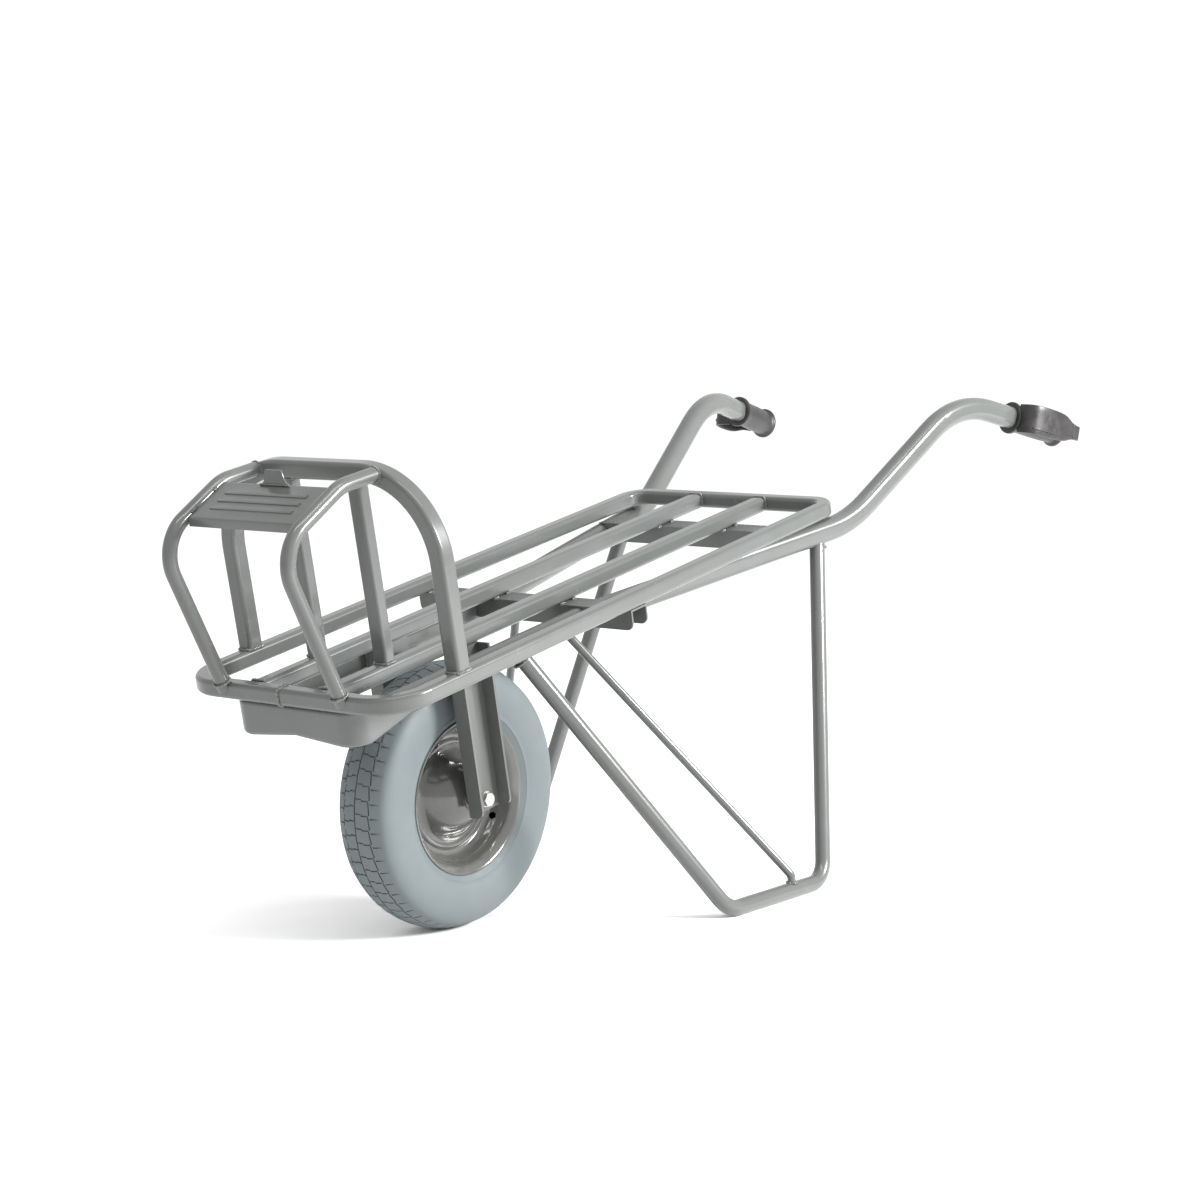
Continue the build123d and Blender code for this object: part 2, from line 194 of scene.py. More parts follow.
def newMaterial(name, colour):
    material = bpy.data.materials.new(name)
    material.use_nodes = True
    material.diffuse_color = (*colour, 1)
    tree = material.node_tree
    shader = tree.nodes["Principled BSDF"]
    place = addNode(tree, "ShaderNodeTexCoord", 3)
    return material, tree, shader, place


def noise(tree, place, scale, detail, rough):
    return addNode(tree, "ShaderNodeTexNoise", Vector=place, Scale=scale, Detail=detail, Roughness=rough)


def ramp(tree, value, low, high, start=0.0, end=1.0):
    return addNode(tree, "ShaderNodeMapRange", Value=value, From_Min=low, From_Max=high, To_Min=start, To_Max=end)


def mixColour(tree, factor, first, second):
    node = tree.nodes.new("ShaderNodeMix")
    node.data_type = "RGBA"
    for index, value in ((0, factor), (6, first), (7, second)):
        if isinstance(value, Wire):
            tree.links.new(value.socket, node.inputs[index])
        elif index == 0:
            node.inputs[index].default_value = value
        else:
            node.inputs[index].default_value = (*value, 1)
    return Wire(tree, node.outputs[2])


def feed(shader, name, wire):
    shader.id_data.links.new(wire.socket, shader.inputs[name])


def feedBump(tree, shader, height, strength, distance):
    bump = addNode(tree, "ShaderNodeBump", Height=height, Strength=strength, Distance=distance)
    feed(shader, "Normal", bump)


paintLook = {
    "colour": (0.087, 0.092, 0.089),  # grey gloss enamel
    "shade": (0.080, 0.084, 0.080),
    "dust": (0.115, 0.115, 0.108),
    "roughness": 0.26,
    "orangePeel": 0.00025,
}


def makePaint():
    look = paintLook
    material, tree, shader, place = newMaterial("greyPaint", look["colour"])
    cloud = noise(tree, place, 6.0, 4, 0.6)
    streak = noise(tree, place, 24.0, 4, 0.6)
    peel = noise(tree, place, 300.0, 2, 0.5)
    base = mixColour(tree, ramp(tree, cloud, 0.35, 0.65), look["shade"], look["colour"])
    dusted = mixColour(tree, ramp(tree, streak, 0.45, 0.8, 0.0, 0.10), base, look["dust"])
    feed(shader, "Base Color", dusted)
    feed(shader, "Roughness", ramp(tree, streak, 0.3, 0.75, look["roughness"] - 0.02, look["roughness"] + 0.02))
    shader.inputs["Specular IOR Level"].default_value = 0.35
    shader.inputs["Coat Weight"].default_value = 0.25
    shader.inputs["Coat Roughness"].default_value = 0.08
    shader.inputs["Coat IOR"].default_value = 1.52
    feedBump(tree, shader, peel * 0.4 + cloud, 0.1, look["orangePeel"])
    return material


weldLook = {"colour": (0.095, 0.097, 0.092), "soot": (0.075, 0.072, 0.066), "roughness": 0.24}


def makeWeldPaint():
    look = weldLook
    material, tree, shader, place = newMaterial("paintOverWeld", look["colour"])
    lump = noise(tree, place, 260.0, 3, 0.6)
    soot = noise(tree, place, 90.0, 3, 0.6)
    feed(shader, "Base Color", mixColour(tree, ramp(tree, soot, 0.4, 0.7), look["colour"], look["soot"]))
    feed(shader, "Roughness", ramp(tree, lump, 0.3, 0.7, look["roughness"], look["roughness"] + 0.15))
    shader.inputs["Coat Weight"].default_value = 0.6
    shader.inputs["Coat Roughness"].default_value = 0.08
    feedBump(tree, shader, lump, 0.6, 0.0006)
    return material


rimLook = {"colour": (0.064, 0.064, 0.060), "edge": (0.080, 0.080, 0.075), "roughness": 0.17}


def makeRimPaint():
    look = rimLook
    material, tree, shader, place = newMaterial("rimPaint", look["colour"])
    cloud = noise(tree, place, 14.0, 4, 0.6)
    fine = noise(tree, place, 240.0, 3, 0.6)
    feed(shader, "Base Color", mixColour(tree, ramp(tree, cloud, 0.35, 0.7), look["colour"], look["edge"]))
    feed(shader, "Roughness", ramp(tree, fine, 0.3, 0.7, look["roughness"] - 0.05, look["roughness"] + 0.08))
    shader.inputs["Coat Weight"].default_value = 0.7
    shader.inputs["Coat Roughness"].default_value = 0.05
    feedBump(tree, shader, cloud * 0.6 + fine * 0.1, 0.15, 0.0004)
    return material


rubberLook = {
    "colour": (0.104, 0.123, 0.127),  # pale blue-grey rubber
    "dark": (0.091, 0.108, 0.112),
    "chalk": (0.125, 0.142, 0.145),
    "roughness": 0.55,
}


def makeRubber():
    look = rubberLook
    material, tree, shader, place = newMaterial("tyreRubber", look["colour"])
    cloud = noise(tree, place, 9.0, 4, 0.6)
    grain = noise(tree, place, 700.0, 3, 0.6)
    smear = noise(tree, place, 55.0, 5, 0.7)
    base = mixColour(tree, ramp(tree, cloud, 0.3, 0.7), look["dark"], look["colour"])
    chalky = mixColour(tree, ramp(tree, smear, 0.5, 0.8, 0.0, 0.35), base, look["chalk"])
    feed(shader, "Base Color", chalky)
    feed(shader, "Roughness", ramp(tree, smear, 0.3, 0.75, look["roughness"] - 0.1, look["roughness"] + 0.15))
    shader.inputs["Specular IOR Level"].default_value = 0.4
    feedBump(tree, shader, grain * 0.5 + smear * 0.8, 0.4, 0.0004)
    return material


gripLook = {"colour": (0.009, 0.008, 0.008), "worn": (0.020, 0.018, 0.017), "roughness": 0.36}


def makeGripPlastic():
    look = gripLook
    material, tree, shader, place = newMaterial("gripPlastic", look["colour"])
    grain = noise(tree, place, 900.0, 3, 0.6)
    wear = noise(tree, place, 60.0, 4, 0.65)
    feed(shader, "Base Color", mixColour(tree, ramp(tree, wear, 0.45, 0.8), look["colour"], look["worn"]))
    feed(shader, "Roughness", ramp(tree, wear, 0.3, 0.7, look["roughness"] - 0.06, look["roughness"] + 0.12))
    feedBump(tree, shader, grain * 0.7 + wear * 0.6, 0.4, 0.0003)
    return material


zincLook = {"colour": (0.50, 0.50, 0.48), "tint": (0.40, 0.41, 0.38), "roughness": 0.30}


def makeZinc():
    look = zincLook
    material, tree, shader, place = newMaterial("zincPlate", look["colour"])
    patch = noise(tree, place, 160.0, 4, 0.6)
    fine = noise(tree, place, 1200.0, 2, 0.5)
    feed(shader, "Base Color", mixColour(tree, ramp(tree, patch, 0.35, 0.7), look["colour"], look["tint"]))
    feed(shader, "Roughness", ramp(tree, patch, 0.3, 0.7, look["roughness"] - 0.06, look["roughness"] + 0.13))
    shader.inputs["Metallic"].default_value = 0.95
    feedBump(tree, shader, fine, 0.25, 0.0001)
    return material


bearingLook = {
    "colour": (0.30, 0.30, 0.29), "seal": (0.035, 0.034, 0.033),
    "sealInner": 0.0088, "sealOuter": 0.0142, "sealEdge": 0.0003,
}


def makeBearingSteel(axle):
    # the flat side shows a dark rubber seal between two steel races
    look = bearingLook
    material, tree, shader, place = newMaterial("bearingSteel", look["colour"])
    centred = addNode(tree, "ShaderNodeVectorMath", 0, {"operation": "SUBTRACT"}, in0=place, in1=axle)
    flat = addNode(tree, "ShaderNodeVectorMath", 0, {"operation": "MULTIPLY"}, in0=centred, in1=(1, 0, 1))
    radius = addNode(tree, "ShaderNodeVectorMath", 1, {"operation": "LENGTH"}, in0=flat)
    pastInner = ramp(tree, radius, look["sealInner"], look["sealInner"] + look["sealEdge"])
    insideOuter = ramp(tree, radius, look["sealOuter"], look["sealOuter"] + look["sealEdge"], 1.0, 0.0)
    seal = pastInner * insideOuter
    fine = noise(tree, place, 900.0, 3, 0.6)
    feed(shader, "Base Color", mixColour(tree, seal, look["colour"], look["seal"]))
    feed(shader, "Roughness", ramp(tree, fine, 0.3, 0.7, 0.28, 0.45))
    feed(shader, "Metallic", 0.9 - seal * 0.9)
    feedBump(tree, shader, fine * 0.5 - seal, 0.4, 0.0003)
    return material


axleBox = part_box("hub_tube")
axle = (axleBox[0] + axleBox[1]) / 2
paint = makePaint()
weldPaint = makeWeldPaint()
rimPaint = makeRimPaint()
rubber = makeRubber()
gripPlastic = makeGripPlastic()
zinc = makeZinc()
bearingSteel = makeBearingSteel(tuple(axle))
print("finishes made")

cadFinish = {"axle_bolt": zinc, "axle_nut": zinc, "axle_washers": zinc, "axle_spacer_left": zinc,
             "axle_spacer_right": zinc, "bearing_left": bearingSteel, "bearing_right": bearingSteel,
             "tyre": rubber, "grip_left": gripPlastic, "grip_right": gripPlastic,
             "rim_half_left": rimPaint, "rim_half_right": rimPaint, "hub_tube": rimPaint}
for name, obj in nodes.items():
    obj.data.materials.clear()
    obj.data.materials.append(cadFinish.get(name, paint))


# the load bed tilts down towards the wheel and has a frame of its own
bedFrame = {"tilt": math.radians(11.14), "height": 0.451}
ahead = Vector((math.cos(bedFrame["tilt"]), 0, -math.sin(bedFrame["tilt"])))
upward = Vector((math.sin(bedFrame["tilt"]), 0, math.cos(bedFrame["tilt"])))
bedOrigin = Vector((axle.x, 0, bedFrame["height"]))


def onBed(u, y, h):
    # u ahead of the axle, y to the left, h above the middle of the rails; millimetres in, metres out
    return bedOrigin + ahead * (u / 1000) + Vector((0, y / 1000, 0)) + upward * (h / 1000)


tyreSize = {
    "pitches": 58,  # tread blocks round the tyre
    "stepsPerPitch": 10,
    "crown": 0.2, "crownArc": 0.0776, "treadEdge": 0.0415,
    "grooveDeep": 0.0021,
    "zigzag": 0.0014,
    "centreHalf": 0.0010, "blockEdge": 0.0224, "rowWide": 0.0054,
    "shoulderGroove": 0.02335, "shoulderHalf": 0.0009,
    "lean": 0.5,  # how far the cross grooves slant, in steps to a row of faces
    # inner edge, outer edge and share of the depth of each length of the shoulder slots
    "slots": ((0.0250, 0.0285, 0.8), (0.0285, 0.0315, 0.6), (0.0315, 0.0345, 0.4), (0.0345, 0.0380, 0.2)),
}


def crownRadius(y):
    arc = tyreSize["crownArc"]
    return tyreSize["crown"] - (arc - math.sqrt(arc * arc - y * y))


def tyreOutline():
    # the tread, the sidewall down to the bead, and back along the inside; distance out from the middle, then radius
    across = [0.0010, 0.0060, 0.0115, 0.0170, 0.0225, 0.0243, 0.0262, 0.0285, 0.0315, 0.0345, 0.0380, 0.0415]
    half = [(y, crownRadius(y)) for y in across]
    half += [(0.0450, 0.1835), (0.0478, 0.1765), (0.0494, 0.168), (0.0499, 0.159), (0.0497, 0.150),
             (0.0488, 0.141), (0.0474, 0.133), (0.0460, 0.1275), (0.0462, 0.1262), (0.0448, 0.1245),
             (0.0428, 0.1205), (0.0403, 0.1172)]
    half += [(0.037, 0.111), (0.032, 0.105), (0.024, 0.1015), (0.030, 0.116), (0.0375, 0.135), (0.0438, 0.154),
             (0.0425, 0.170), (0.037, 0.181), (0.018, 0.1890)]
    return half + [(-y, r) for y, r in half[::-1]]


def makeTyre():
    steps = tyreSize["pitches"] * tyreSize["stepsPerPitch"]
    outline = [Vector((axle.x, y, axle.z + r)) for y, r in tyreOutline()]
    obj = drawLine("tyreTread", outline)
    bpy.ops.mesh.select_all(action="SELECT")
    bpy.ops.mesh.edge_face_add()
    bpy.ops.mesh.delete(type="ONLY_FACE")
    bpy.ops.mesh.select_all(action="SELECT")
    bpy.ops.mesh.spin(steps=steps, angle=2 * math.pi, center=axle, axis=(0, 1, 0), use_auto_merge=True)
    tidyShell()
    bendGrooves(obj)
    cutGrooves(obj)
    endEdit()
    return settle(obj, "tyreTread", rubber, "wheel", ("tyre",), 40)


def cellOf(point):
    # how far a point lies through its own pitch, from 0 to 1
    angle = math.atan2(point.z - axle.z, point.x - axle.x) / (2 * math.pi) % 1.0
    return angle * tyreSize["pitches"] % 1.0


def isOuter(point):
    surface = crownRadius(min(abs(point.y), tyreSize["treadEdge"]))
    return math.hypot(point.x - axle.x, point.z - axle.z) > surface - 0.0015


def bendGrooves(obj):
    # the shoulder groove runs in a zigzag, one bend to each block
    size = tyreSize["zigzag"]
    count = tyreSize["stepsPerPitch"]
    for side in (-1, 1):
        for step in range(count):
            cell = step / count
            shift = size * (1 - 2 * cell)
            pickVerts(obj, lambda p: 0.0222 < side * p.y < 0.0265 and isOuter(p)
                      and abs((cellOf(p) - cell + 0.5) % 1.0 - 0.5) < 0.03)
            bpy.ops.transform.translate(value=(0, side * shift, 0))


def cutGrooves(obj):
    size = tyreSize
    groove = 1 / size["stepsPerPitch"]

    def inCross(point, row, start):
        # the cross grooves slant, a step to each row of faces
        return (cellOf(point) + start + math.floor(row) * groove) % 1.0 < groove * 0.999

    def inShoulderGroove(point, y):
        step = math.floor(cellOf(point) / groove)
        bend = size["zigzag"] * (1 - 2 * (step + 0.5) * groove)
        return abs(y - size["shoulderGroove"] - bend) < size["shoulderHalf"]

    def isTread(point, normal):
        y = abs(point.y)
        if not isOuter(point) or y > 0.0270:
            return False
        if y < size["centreHalf"] or inShoulderGroove(point, y):
            return True
        row = (y - size["centreHalf"]) / size["rowWide"] * size["lean"]
        return y < size["blockEdge"] and inCross(point, row, 0.0 if point.y > 0 else 0.5)

    pickFaces(obj, isTread)
    bpy.ops.mesh.extrude_region_shrink_fatten(TRANSFORM_OT_shrink_fatten={"value": -size["grooveDeep"]})
    for low, high, share in size["slots"]:
        pickFaces(obj, lambda p, n: low < abs(p.y) < high and isOuter(p) and abs(n.y) < 0.8
                  and inCross(p, 0, 0.3 if p.y > 0 else 0.8))
        bpy.ops.mesh.extrude_region_shrink_fatten(
            TRANSFORM_OT_shrink_fatten={"value": -size["grooveDeep"] * share})


rimSize = {
    "wall": 0.002, "steps": 144,
    "valveHole": 0.0055, "valveWay": (-0.88, 0, -0.47), "valveOut": 0.0975, "valveY": 0.012,
}


def rimOutline():
    # the visible side of one pressed half, from the hub seat out to the rolled edge
    return [(0.0465, 0.0190), (0.0468, 0.0215), (0.0462, 0.0245), (0.0440, 0.0290), (0.0410, 0.0345),
            (0.0370, 0.0400), (0.0310, 0.0462), (0.0240, 0.0522), (0.0165, 0.0580), (0.0100, 0.0628),
            (0.0060, 0.0662), (0.0038, 0.0700), (0.0032, 0.0735), (0.0046, 0.0752), (0.0062, 0.0768),
            (0.0066, 0.0795), (0.0055, 0.0820), (0.0036, 0.0838), (0.0030, 0.0868), (0.0040, 0.0895),
            (0.0085, 0.0940), (0.0125, 0.0962), (0.0185, 0.0978), (0.0200, 0.0986), (0.0215, 0.1000),
            (0.0290, 0.1020), (0.0335, 0.1042), (0.0368, 0.1075), (0.0392, 0.1108), (0.0410, 0.1130),
            (0.0421, 0.1150), (0.0423, 0.1163), (0.0413, 0.1172)]


def makeRimHalf(side):
    name = "rimPressing" + ("Left" if side > 0 else "Right")
    outline = [Vector((axle.x, side * y, axle.z + r)) for y, r in rimOutline()]
    obj = drawLine(name, outline)
    bpy.ops.mesh.select_all(action="SELECT")
    bpy.ops.mesh.spin(steps=rimSize["steps"], angle=2 * math.pi, center=axle, axis=(0, 1, 0), use_auto_merge=True)
    tidyShell()
    turnSheet(obj, Vector((0, side, 0)))
    endEdit()
    addModifier(obj, "SOLIDIFY", thickness=rimSize["wall"], offset=-1)
    if side > 0:
        cutValveHole(obj)
    oldNode = "rim_half_left" if side > 0 else "rim_half_right"
    return settle(obj, name, rimPaint, "wheel", (oldNode,), 32)


def cutValveHole(obj):
    outward = Vector(rimSize["valveWay"]).normalized()
    place = axle + outward * rimSize["valveOut"] + Vector((0, rimSize["valveY"], 0))
    clearSelection()
    bpy.ops.mesh.primitive_cylinder_add(vertices=40, radius=rimSize["valveHole"], depth=0.03, location=place,
                                        rotation=outward.to_track_quat("Z", "Y").to_euler())
    drill = bpy.context.object
    addModifier(obj, "BOOLEAN", operation="DIFFERENCE", solver="EXACT", object=drill)
    bpy.data.objects.remove(drill)


makeTyre()
makeRimHalf(1)
makeRimHalf(-1)
print("wheel made")


gripPlace = {
    "start": (-1.14928, 0.2906, 0.7254),  # where the left collar begins, behind the axle, out and up
    "inward": (-0.18761, -0.98224, 0.0),
    "raised": (-0.21734, 0.04151, 0.97521),
    "back": (-0.95790, 0.18296, -0.22127),
}

# distance along the grip, half width and half height of each ring
gripRings = [(0.0000, 0.0190, 0.0225), (0.0002, 0.0235, 0.0268), (0.0012, 0.0246, 0.0279),
             (0.0045, 0.0250, 0.0282), (0.0072, 0.0244, 0.0276), (0.0086, 0.0222, 0.0256),
             (0.0100, 0.0206, 0.0240), (0.0150, 0.0197, 0.0231), (0.0300, 0.0196, 0.0230),
             (0.0500, 0.0201, 0.0235), (0.0700, 0.0204, 0.0238), (0.0900, 0.0201, 0.0235), (0.1080, 0.0195, 0.0229),
             (0.1160, 0.0196, 0.0230), (0.1185, 0.0208, 0.0242), (0.1198, 0.0232, 0.0265), (0.1215, 0.0244, 0.0277),
             (0.1250, 0.0246, 0.0279), (0.1272, 0.0236, 0.0269), (0.1280, 0.0215, 0.0248), (0.1280, 0.0100, 0.0120)]

# inward (negative is outboard), along and full height of the guard at each station
guardStations = [(-0.0180, 0.0022, 0.0500), (-0.0300, 0.0022, 0.0500), (-0.0400, 0.0040, 0.0502),
                 (-0.0472, 0.0098, 0.0505), (-0.0515, 0.0190, 0.0506), (-0.0536, 0.0310, 0.0506),
                 (-0.0542, 0.0450, 0.0504), (-0.0540, 0.0600, 0.0500), (-0.0532, 0.0740, 0.0490),
                 (-0.0516, 0.0870, 0.0470), (-0.0494, 0.0985, 0.0430), (-0.0470, 0.1090, 0.0370),
                 (-0.0448, 0.1185, 0.0310), (-0.0428, 0.1280, 0.0272), (-0.0410, 0.1380, 0.0256),
                 (-0.0396, 0.1470, 0.0246)]

# the short bridge from the end of the sleeve out to the guard, measured in the same way
bridgeStations = [(-0.0150, 0.1240, 0.030), (-0.0250, 0.1240, 0.0285), (-0.0350, 0.1246, 0.0275),
                  (-0.0440, 0.1250, 0.0270)]


def scaleRing(x, y, middle):
    bpy.ops.transform.resize(value=(x, y, 1), center_override=middle)


def makeSleeve():
    clearSelection()
    bpy.ops.mesh.primitive_circle_add(vertices=48, radius=1, location=(0, 0, 0))
    obj = bpy.context.object
    startEdit(obj)
    bpy.ops.mesh.select_all(action="SELECT")
    along, wide, tall = gripRings[0]
    scaleRing(wide, tall, (0, 0, 0))
    for nextAlong, nextWide, nextTall in gripRings[1:]:
        bpy.ops.mesh.extrude_region_move(TRANSFORM_OT_translate={"value": (0, 0, nextAlong - along)})
        scaleRing(nextWide / wide, nextTall / tall, (0, 0, nextAlong))
        along, wide, tall = nextAlong, nextWide, nextTall
    bpy.ops.mesh.edge_face_add()
    pickVerts(obj, lambda p: p.z < 0.00001)
    bpy.ops.mesh.edge_face_add()
    tidyShell()
    endEdit()
    return obj


def makeBand(stations, shift, share, thick, soft):
    # a strip carried along the stations; share is its part of their height, shift moves it up or down
    x, z, tall = stations[0]
    rows = 6
    start = [Vector((x, tall * share * (i / rows - 0.5) + tall * shift, z)) for i in range(rows + 1)]
    obj = drawLine("band", start)
    bpy.ops.mesh.select_all(action="SELECT")
    for nextX, nextZ, nextTall in stations[1:]:
        bpy.ops.mesh.extrude_region_move(TRANSFORM_OT_translate={"value": (nextX - x, 0, nextZ - z)})
        bpy.ops.transform.resize(value=(1, nextTall / tall, 1), center_override=(nextX, 0, nextZ))
        x, z, tall = nextX, nextZ, nextTall
    tidyShell()
    turnSheet(obj, Vector((-1, 0, 0)))
    endEdit()
    addModifier(obj, "SOLIDIFY", thickness=thick, offset=-1)
    addModifier(obj, "BEVEL", width=soft, segments=3, limit_method="ANGLE", angle_limit=math.radians(50))
    return obj


def makeGrip(side):
    name = "grip" + ("Left" if side > 0 else "Right")
    sleeve = makeSleeve()
    guard = makeBand(guardStations, 0.0, 1.0, 0.0042, 0.0013)
    ledge = [(x - 0.0016, z, tall) for x, z, tall in guardStations[3:15]]
    rib = makeBand(ledge, -0.30, 0.07, 0.0030, 0.0006)
    bridge = makeBand(bridgeStations, 0.0, 1.0, 0.0060, 0.0014)
    pickObjects([guard, rib, bridge, sleeve], sleeve)
    bpy.ops.object.join()
    turn = Matrix([gripPlace["inward"], gripPlace["raised"], gripPlace["back"]]).transposed()
    sleeve.matrix_world = Matrix.Translation(Vector(gripPlace["start"]) + Vector((axle.x, 0, 0))) @ turn.to_4x4()
    bpy.ops.object.transform_apply(location=True, rotation=True, scale=True)
    if side < 0:
        startEdit(sleeve)
        bpy.ops.mesh.select_all(action="SELECT")
        bpy.ops.transform.resize(value=(1, -1, 1), center_override=(0, 0, 0))
        bpy.ops.mesh.flip_normals()
        endEdit()
    node = "grip_left" if side > 0 else "grip_right"
    return settle(sleeve, name, gripPlastic, "frame", (node,), 40)


makeGrip(1)
makeGrip(-1)
print("grips made")


plateSize = {
    "halfWide": 103.3, "wall": 3.0,
    "top": (291.0, 288.0), "fold": (366.0, 257.0), "lip": 13.0,
    "ribAt": (20.0, 37.0, 54.0), "ribWide": 7.0, "ribHalf": 78.0, "ribTall": 1.7,
    "tab": [(284.0, 29.0), (288.0, 28.6), (289.6, 25.0), (292.0, 21.6), (296.0, 19.0), (302.0, 17.4),
            (307.0, 16.4), (309.0, 14.6)],
}


def makePlate():
    look = plateSize
    top, fold = Vector(look["top"]), Vector(look["fold"])
    slope = (fold - top).normalized()
    length = (fold - top).length
    # across the slope, with a pair of lines for each rib, then round the fold and down the lip
    marks = [0, 4]
    for start in look["ribAt"]:
        marks += [start, start + look["ribWide"]]
    marks += [length - 3.2]
    line = [top + slope * m for m in marks]
    line += [fold - slope * 1.2 - Vector((0, 0.1))]
    line += [fold - Vector((0, down)) for down in (1.6, 4.5, look["lip"])]
    half = [40, look["ribHalf"], 98, look["halfWide"]]
    columns = [-y for y in half[::-1]] + [0] + half
    obj = drawLine("rackPlate", [onBed(p.x, columns[0], p.y) for p in line])
    bpy.ops.mesh.select_all(action="SELECT")
    for last, column in zip(columns, columns[1:]):
        bpy.ops.mesh.extrude_region_move(TRANSFORM_OT_translate={"value": (0, (column - last) / 1000, 0)})
    tidyShell()
    turnSheet(obj, Vector((0, 0, 1)))
    ribs = [top + slope * (start + look["ribWide"] / 2) for start in look["ribAt"]]
    middles = [onBed(rib.x, 0, rib.y) for rib in ribs]
    pickFaces(obj, lambda p, n: abs(p.y) < look["ribHalf"] / 1000
              and any(math.hypot(p.x - m.x, p.z - m.z) < 0.002 for m in middles))
    bpy.ops.mesh.extrude_region_shrink_fatten(TRANSFORM_OT_shrink_fatten={"value": look["ribTall"] / 1000})
    endEdit()
    addModifier(obj, "SOLIDIFY", thickness=look["wall"] / 1000, offset=-1)
    addModifier(obj, "BEVEL", width=0.0009, segments=3, limit_method="ANGLE", angle_limit=math.radians(28))
    pickObjects([makeTab(), obj], obj)
    bpy.ops.object.join()
    return settle(obj, "rackPlate", paint, "frame", ("rack_plate",), 35)


def makeTab():
    stations = plateSize["tab"]
    u = plateSize["top"][0] + plateSize["wall"]
    height, half = stations[0]
    obj = drawLine("rackTab", [onBed(u, half * k, height) for k in (-1, -0.5, 0, 0.5, 1)])
    bpy.ops.mesh.select_all(action="SELECT")
    for nextHeight, nextHalf in stations[1:]:
        bpy.ops.mesh.extrude_region_move(TRANSFORM_OT_translate={"value": upward * ((nextHeight - height) / 1000)})
        bpy.ops.transform.resize(value=(1, nextHalf / half, 1), center_override=(0, 0, 0))
        height, half = nextHeight, nextHalf
    tidyShell()
    turnSheet(obj, Vector((1, 0, 0)))
    endEdit()
    addModifier(obj, "SOLIDIFY", thickness=plateSize["wall"] / 1000, offset=-1)
    addModifier(obj, "BEVEL", width=0.0008, segments=3, limit_method="ANGLE", angle_limit=math.radians(40))
    return obj


makePlate()
print("rack plate made")


weldSize = {
    "gap": 0.72, "jitter": 0.18, "seed": 7,
    "slatAt": 65.5, "slatHalf": 13, "slatEnds": (-722.5, 322.5),
    "braceAt": 114, "hoopAt": 203.5, "railAt": 202.5,
    "legFrontTop": (-30.0, 109.5), "legRearTop": (-684.5, 200.3),
    "legFrontFoot": (-0.288, 0.305, 0.0125), "legRearFoot": (-0.546, 0.305, 0.0125),  # from the axle
}
chance = random.Random(weldSize["seed"])
beads = []


def layBeads(points, size, closed=False):
    # overlapping lumps of metal along a line of points, sizes in metres
    line = list(points) + ([points[0]] if closed else [])
    for start, end in zip(line, line[1:]):
        run = end - start
        count = max(1, round(run.length / (size * weldSize["gap"])))
        for index in range(count):
            spot = start + run * ((index + 0.5) / count)
            beads.append((spot, run.normalized(), size * (1 + weldSize["jitter"] * (chance.random() * 2 - 1))))


def squareRound(middle, sideA, sideB, halfA, halfB):
    # eight points round a square bar whose corners are cut
    flat = 0.65
    corners = [(1, flat), (flat, 1), (-flat, 1), (-1, flat), (-1, -flat), (-flat, -1), (flat, -1), (1, -flat)]
    return [middle + sideA * (halfA * a) + sideB * (halfB * b) for a, b in corners]


def circleRound(middle, sideA, sideB, radius, count=20):
    angles = [2 * math.pi * i / count for i in range(count)]
    return [middle + sideA * (radius * math.cos(angle)) + sideB * (radius * math.sin(angle)) for angle in angles]


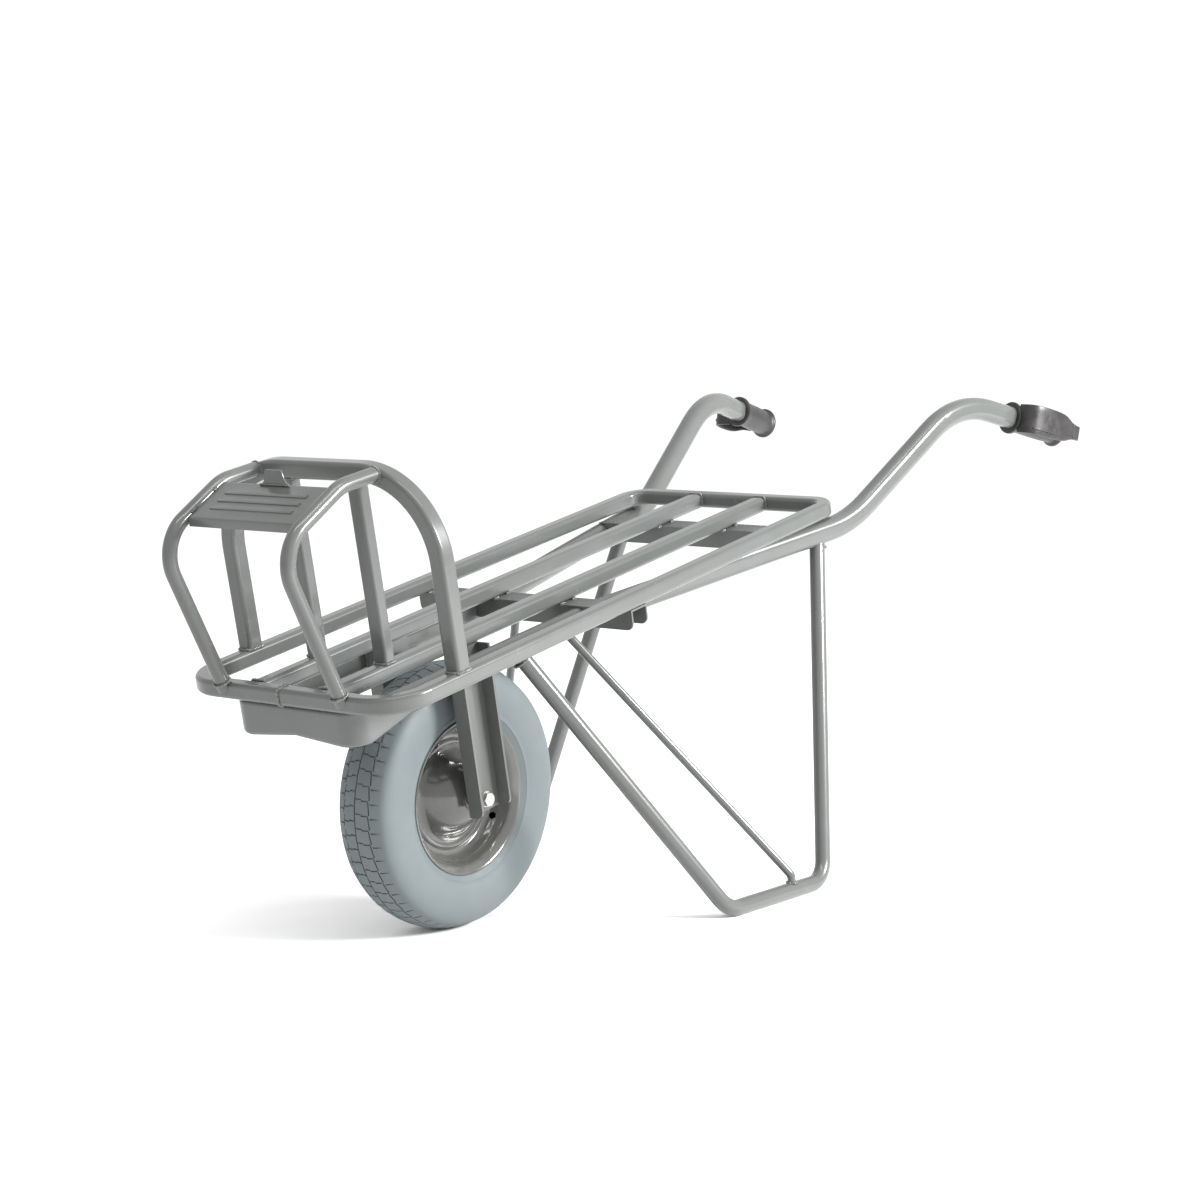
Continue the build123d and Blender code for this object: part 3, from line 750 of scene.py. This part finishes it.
def layWelds():
    size = weldSize
    left = Vector((0, 1, 0))
    for side in (-1, 1):
        slat, brace, rail = size["slatAt"] * side, size["braceAt"] * side, size["railAt"] * side
        slatEdges = (slat - size["slatHalf"], slat + size["slatHalf"])
        # slat ends
        for u in size["slatEnds"]:
            over = [onBed(u, slat - 13, 8), onBed(u, slat - 11.5, 12.6), onBed(u, slat + 11.5, 12.6),
                    onBed(u, slat + 13, 8)]
            layBeads(over, 0.0027)
            for y in slatEdges:
                layBeads([onBed(u, y, 8), onBed(u, y, -9)], 0.0024)
        # rack bars, hoop foot and brace ends
        hoop = size["hoopAt"]
        layBeads(squareRound(onBed(hoop, slat, 13), ahead, left, 0.0106, 0.0131), 0.0028, True)
        layBeads(squareRound(onBed(hoop, slat, 274), ahead, left, 0.0104, 0.0129), 0.0025, True)
        layBeads(squareRound(onBed(hoop, rail, 13), ahead, left, 0.0141, 0.0131), 0.0030, True)
        layBeads(circleRound(onBed(217.3, brace, 288), left, upward, 0.0108), 0.0020, True)
        footLine = (onBed(342, brace, 0) - onBed(415, brace, 233)).normalized()
        across = footLine.cross(left).normalized()
        layBeads(circleRound(onBed(347.0, brace, 13.5), left, across, 0.0118), 0.0026, True)
        # tacks along the plate's edge
        for u, h in ((306, 283.5), (309, 281.9), (349, 265.6), (352, 264.3), (355, 263.1)):
            layBeads([onBed(u, 103.8 * side, h), onBed(u + 2.5, 103.8 * side, h - 1.0)], 0.0024)
        # leg tops
        for end in ("legFront", "legRear"):
            u, y = size[end + "Top"]
            foot = Vector(size[end + "Foot"]) + Vector((axle.x, 0, 0))
            top = onBed(u, y, -53.5)
            line = (foot - top).normalized()
            sideA = line.cross(ahead).normalized()
            sideB = line.cross(sideA).normalized()
            ring = circleRound(top + line * 0.003, sideA, sideB, 0.0129)
            layBeads([Vector((p.x, p.y * side, p.z)) for p in ring], 0.0027, True)
        # fork legs, then the two cross-members under the slats
        for u in (16.5, 81.5):
            layBeads([onBed(u, 92.6 * side, -18), onBed(u, 92.6 * side, -50)], 0.0027)
        for u in (-640.5, -605.5):
            for y in slatEdges:
                layBeads([onBed(u + 3, y, -11.9), onBed(u + 11, y, -11.9)], 0.0026)
        for u in (-207, -179):
            for y in (*slatEdges, 189.5 * side):
                layBeads([onBed(u, y, -11.9), onBed(u + 9, y, -11.9)], 0.0025)
        stayFoot = Vector((axle.x - 0.4565, 0.305 * side, 0.0250))
        layBeads(circleRound(stayFoot, Vector((1, 0, 0)), left, 0.0076, 14), 0.0022, True)
    # the seam of the bed loop at the front, and the foot of the plate's tab
    layBeads(squareRound(onBed(335, -5, 0), ahead, upward, 0.0128, 0.0128), 0.0030, True)
    layBeads([onBed(294.5, -28, 288.4), onBed(294.5, 28, 288.4)], 0.0018)


def joinBeads():
    clearSelection()
    bpy.ops.mesh.primitive_uv_sphere_add(segments=8, ring_count=5, radius=1)
    pattern = bpy.context.object
    made = [pattern]
    for spot, along, size in beads[1:]:
        copy = bpy.data.objects.new("bead", pattern.data.copy())
        bpy.context.scene.collection.objects.link(copy)
        made.append(copy)
    for obj, (spot, along, size) in zip(made, beads):
        turn = along.to_track_quat("X", "Z").to_matrix().to_4x4()
        obj.matrix_world = Matrix.Translation(spot) @ turn @ Matrix.Diagonal((size * 0.62, size, size * 0.8, 1))
    pickObjects(made, pattern)
    bpy.ops.object.join()
    return settle(pattern, "weldBeads", weldPaint, "frame", (), 60)


layWelds()
joinBeads()
print("welds laid:", len(beads), "beads")


studioLook = {
    "floor": (0.95, 0.95, 0.95), "floorShade": (0.94, 0.94, 0.94),
    "world": (1.0, 1.0, 1.0), "worldStrength": 1.06,
    "key": {"at": (-1.5, 4.1, 2.2), "size": (1.4, 1.0), "power": 500},
    "strip": {"at": (0.9, 1.2, 3.6), "size": (3.4, 0.3), "power": 55},
    "fill": {"at": (3.8, -0.6, 1.9), "size": (2.4, 2.0), "power": 4},
}


def makeFloor():
    clearSelection()
    bpy.ops.mesh.primitive_grid_add(x_subdivisions=24, y_subdivisions=24, size=24, location=(0, 0, 0))
    floor = bpy.context.object
    floor.name = "studioFloor"
    material, tree, shader, place = newMaterial("paleFloor", studioLook["floor"])
    cloud = noise(tree, place, 1.2, 3, 0.5)
    shade = mixColour(tree, ramp(tree, cloud, 0.3, 0.7), studioLook["floor"], studioLook["floorShade"])
    feed(shader, "Base Color", shade)
    shader.inputs["Roughness"].default_value = 0.75
    floor.data.materials.append(material)


def makeLight(name, look):
    lamp = bpy.data.lights.new(name, "AREA")
    lamp.shape = "RECTANGLE"
    lamp.size, lamp.size_y = look["size"]
    lamp.energy = look["power"]
    obj = bpy.data.objects.new(name, lamp)
    bpy.context.scene.collection.objects.link(obj)
    obj.location = look["at"]
    aim = Vector((0.05, 0, 0.4)) - obj.location
    obj.rotation_euler = aim.to_track_quat("-Z", "Y").to_euler()


def makeWorld():
    world = bpy.data.worlds.new("studioWorld")
    bpy.context.scene.world = world
    world.use_nodes = True
    back = world.node_tree.nodes["Background"]
    back.inputs["Color"].default_value = (*studioLook["world"], 1)
    back.inputs["Strength"].default_value = studioLook["worldStrength"]


cameraLook = {"azimuth": 128.5255, "elevation": 6.3851, "roll": -0.2487, "distance": 3.9564,
              "target": (-0.36313, 0.0, 0.45608), "lens": 74.797}  # target is measured from the axle


def makeCamera():
    look = cameraLook
    azimuth, elevation = math.radians(look["azimuth"]), math.radians(look["elevation"])
    flat = math.cos(elevation)
    back = Vector((math.sin(azimuth) * flat, -math.cos(azimuth) * flat, math.sin(elevation)))
    right = Vector((0, 0, 1)).cross(back).normalized()
    up = back.cross(right)
    turn = Matrix((right, up, back)).transposed() @ Matrix.Rotation(math.radians(look["roll"]), 3, "Z")
    camera = bpy.data.cameras.new("mainCamera")
    camera.lens = look["lens"]
    camera.sensor_width = 36
    camera.clip_end = 60
    obj = bpy.data.objects.new("mainCamera", camera)
    bpy.context.scene.collection.objects.link(obj)
    target = Vector(look["target"]) + Vector((axle.x, 0, 0))
    obj.matrix_world = Matrix.Translation(target + back * look["distance"]) @ turn.to_4x4()
    bpy.context.scene.camera = obj


makeFloor()
for lightName in ("key", "strip", "fill"):
    makeLight(lightName + "Light", studioLook[lightName])
makeWorld()
makeCamera()
bpy.context.scene.view_settings.view_transform = "Standard"
print("studio ready")

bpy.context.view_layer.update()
